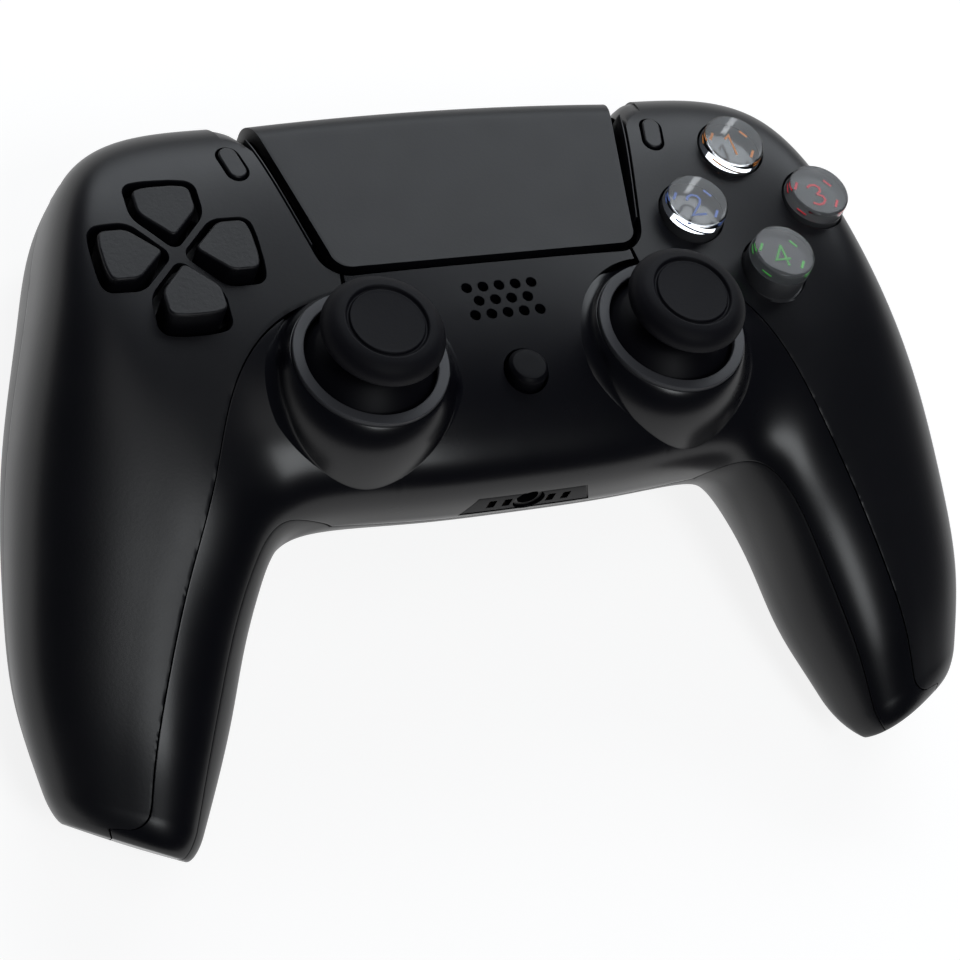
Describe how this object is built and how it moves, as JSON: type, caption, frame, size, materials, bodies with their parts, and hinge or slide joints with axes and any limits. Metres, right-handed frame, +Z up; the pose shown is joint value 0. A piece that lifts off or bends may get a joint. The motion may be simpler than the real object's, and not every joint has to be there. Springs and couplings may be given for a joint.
{
  "type": "game controller",
  "caption": "Two-handed game controller with grips, thumbsticks, a click touchpad, direction keys, clear round buttons, bumpers and pull triggers.",
  "frame": {"origin": "middle of the part's box on the table it stands on", "axes": "+X to the player's right, +Y from the player towards the shoulders, +Z up"},
  "size_m": [0.1602, 0.108, 0.0565],
  "materials": {
    "wing_black": "fine satin grain",
    "trim_black": "polished",
    "back_black": "fine satin grain",
    "pad_black": "fine grain",
    "key_black": "satin",
    "clear_button": "clear, polished",
    "light_guide": "frosted",
    "ring_grey": "satin",
    "thumb_rubber": "matt, fine grain on the rim",
    "stem_black": "satin",
    "gear_white": "moulded",
    "frame_grey": "moulded",
    "board_green": "solder mask",
    "battery_blue": "plastic wrap",
    "dome_rubber": "moulded",
    "socket_black": "moulded",
    "contact_brass": "plated",
    "steel": "plated"
  },
  "bodies": {
    "case": {"front_shell": "wing_black", "centre_trim": "trim_black", "rear_shell": "back_black", "touchpad_board": "board_green", "left_light_guide": "light_guide", "right_light_guide": "light_guide", "left_stick_ring": "ring_grey", "right_stick_ring": "ring_grey", "left_stick_housing": "steel", "right_stick_housing": "steel", "left_bumper_pin": "steel", "right_bumper_pin": "steel", "left_trigger_pin": "steel", "right_trigger_pin": "steel", "left_trigger_spring": "steel", "right_trigger_spring": "steel", "left_trigger_bracket": "frame_grey", "right_trigger_bracket": "frame_grey", "mid_frame": "frame_grey", "left_dome_sheet": "dome_rubber", "right_dome_sheet": "dome_rubber", "main_board": "board_green", "battery": "battery_blue", "battery_tray": "frame_grey", "left_motor": "steel", "right_motor": "steel", "speaker": "frame_grey", "headset_jack": "socket_black", "usb_port": "steel", "charge_contacts": "contact_brass", "case_screws": "steel"},
    "touchpad": {"touchpad": "pad_black"},
    "dpad_pivot": {"dpad_pivot": "frame_grey"},
    "dpad": {"dpad": "key_black"},
    "top_button": {"top_button": "clear_button"},
    "left_button": {"left_button": "clear_button"},
    "right_button": {"right_button": "clear_button"},
    "bottom_button": {"bottom_button": "clear_button"},
    "home_button": {"home_button": "key_black"},
    "left_menu_button": {"left_menu_button": "key_black"},
    "left_stick_carrier": {"left_stick_carrier": "gear_white"},
    "left_stick_gimbal": {"left_stick_gimbal": "gear_white"},
    "left_stick": {"left_stick_stem": "stem_black", "left_stick_cap": "thumb_rubber"},
    "left_bumper": {"left_bumper": "key_black"},
    "left_trigger": {"left_trigger": "key_black"},
    "left_motor_weight": {"left_motor_weight": "contact_brass"},
    "right_menu_button": {"right_menu_button": "key_black"},
    "right_stick_carrier": {"right_stick_carrier": "gear_white"},
    "right_stick_gimbal": {"right_stick_gimbal": "gear_white"},
    "right_stick": {"right_stick_stem": "stem_black", "right_stick_cap": "thumb_rubber"},
    "right_bumper": {"right_bumper": "key_black"},
    "right_trigger": {"right_trigger": "key_black"},
    "right_motor_weight": {"right_motor_weight": "contact_brass"}
  },
  "joints": [
    {"name": "top_button_press", "type": "slide", "parent": "case", "child": "top_button", "axis": [0, -0.1736, -0.9848], "range_m": [0, 0.0012], "stiffness_N_per_m": 400},
    {"name": "left_button_press", "type": "slide", "parent": "case", "child": "left_button", "axis": [0, -0.1736, -0.9848], "range_m": [0, 0.0012], "stiffness_N_per_m": 400},
    {"name": "right_button_press", "type": "slide", "parent": "case", "child": "right_button", "axis": [0, -0.1736, -0.9848], "range_m": [0, 0.0012], "stiffness_N_per_m": 400},
    {"name": "bottom_button_press", "type": "slide", "parent": "case", "child": "bottom_button", "axis": [0, -0.1736, -0.9848], "range_m": [0, 0.0012], "stiffness_N_per_m": 400},
    {"name": "home_button_press", "type": "slide", "parent": "case", "child": "home_button", "axis": [0, -0.1736, -0.9848], "range_m": [0, 0.0005], "stiffness_N_per_m": 600},
    {"name": "left_menu_button_press", "type": "slide", "parent": "case", "child": "left_menu_button", "axis": [0, -0.1736, -0.9848], "range_m": [0, 0.0008], "stiffness_N_per_m": 500},
    {"name": "left_stick_press", "type": "slide", "parent": "case", "child": "left_stick_carrier", "axis": [0, -0.1736, -0.9848], "range_m": [0, 0.0005], "stiffness_N_per_m": 3000},
    {"name": "left_stick_tilt_up", "type": "hinge", "parent": "left_stick_carrier", "child": "left_stick_gimbal", "pos_m": [-0.0253, 0.00575, 0.03594], "axis": [1, 0, 0], "range_deg": [-17, 17], "stiffness_Nm_per_rad": 0.05},
    {"name": "left_stick_tilt_side", "type": "hinge", "parent": "left_stick_gimbal", "child": "left_stick", "pos_m": [-0.0253, 0.00575, 0.03594], "axis": [0, 0.9848, -0.1736], "range_deg": [-17, 17], "stiffness_Nm_per_rad": 0.05},
    {"name": "left_bumper_press", "type": "hinge", "parent": "case", "child": "left_bumper", "pos_m": [-0.0395, 0.04613, 0.02882], "axis": [0, 0.1736, 0.9848], "range_deg": [0, 2.8], "stiffness_Nm_per_rad": 0.4},
    {"name": "left_trigger_pull", "type": "hinge", "parent": "case", "child": "left_trigger", "pos_m": [-0.049, 0.04177, 0.02025], "axis": [-1, 0, 0], "range_deg": [0, 12], "stiffness_Nm_per_rad": 0.1},
    {"name": "left_motor_spin", "type": "hinge", "parent": "case", "child": "left_motor_weight", "pos_m": [-0.068, -0.01328, 0.01899], "axis": [1, 0, 0], "continuous": true},
    {"name": "right_menu_button_press", "type": "slide", "parent": "case", "child": "right_menu_button", "axis": [0, -0.1736, -0.9848], "range_m": [0, 0.0008], "stiffness_N_per_m": 500},
    {"name": "right_stick_press", "type": "slide", "parent": "case", "child": "right_stick_carrier", "axis": [0, -0.1736, -0.9848], "range_m": [0, 0.0005], "stiffness_N_per_m": 3000},
    {"name": "right_stick_tilt_up", "type": "hinge", "parent": "right_stick_carrier", "child": "right_stick_gimbal", "pos_m": [0.0253, 0.00575, 0.03594], "axis": [1, 0, 0], "range_deg": [-17, 17], "stiffness_Nm_per_rad": 0.05},
    {"name": "right_stick_tilt_side", "type": "hinge", "parent": "right_stick_gimbal", "child": "right_stick", "pos_m": [0.0253, 0.00575, 0.03594], "axis": [0, 0.9848, -0.1736], "range_deg": [-17, 17], "stiffness_Nm_per_rad": 0.05},
    {"name": "right_bumper_press", "type": "hinge", "parent": "case", "child": "right_bumper", "pos_m": [0.0395, 0.04613, 0.02882], "axis": [0, -0.1736, -0.9848], "range_deg": [0, 2.8], "stiffness_Nm_per_rad": 0.4},
    {"name": "right_trigger_pull", "type": "hinge", "parent": "case", "child": "right_trigger", "pos_m": [0.049, 0.04177, 0.02025], "axis": [-1, 0, 0], "range_deg": [0, 12], "stiffness_Nm_per_rad": 0.1},
    {"name": "right_motor_spin", "type": "hinge", "parent": "case", "child": "right_motor_weight", "pos_m": [0.068, -0.01328, 0.01899], "axis": [1, 0, 0], "continuous": true},
    {"name": "dpad_rock_up", "type": "hinge", "parent": "case", "child": "dpad_pivot", "pos_m": [-0.0492, 0.02771, 0.03491], "axis": [1, 0, 0], "range_deg": [-4.5, 4.5], "stiffness_Nm_per_rad": 0.2},
    {"name": "dpad_rock_side", "type": "hinge", "parent": "dpad_pivot", "child": "dpad", "pos_m": [-0.0492, 0.02771, 0.03491], "axis": [0, 0.9848, -0.1736], "range_deg": [-4.5, 4.5], "stiffness_Nm_per_rad": 0.2},
    {"name": "touchpad_click", "type": "hinge", "parent": "case", "child": "touchpad", "pos_m": [0, 0.05081, 0.03003], "axis": [1, 0, 0], "range_deg": [0, 1], "stiffness_Nm_per_rad": 8}
  ]
}
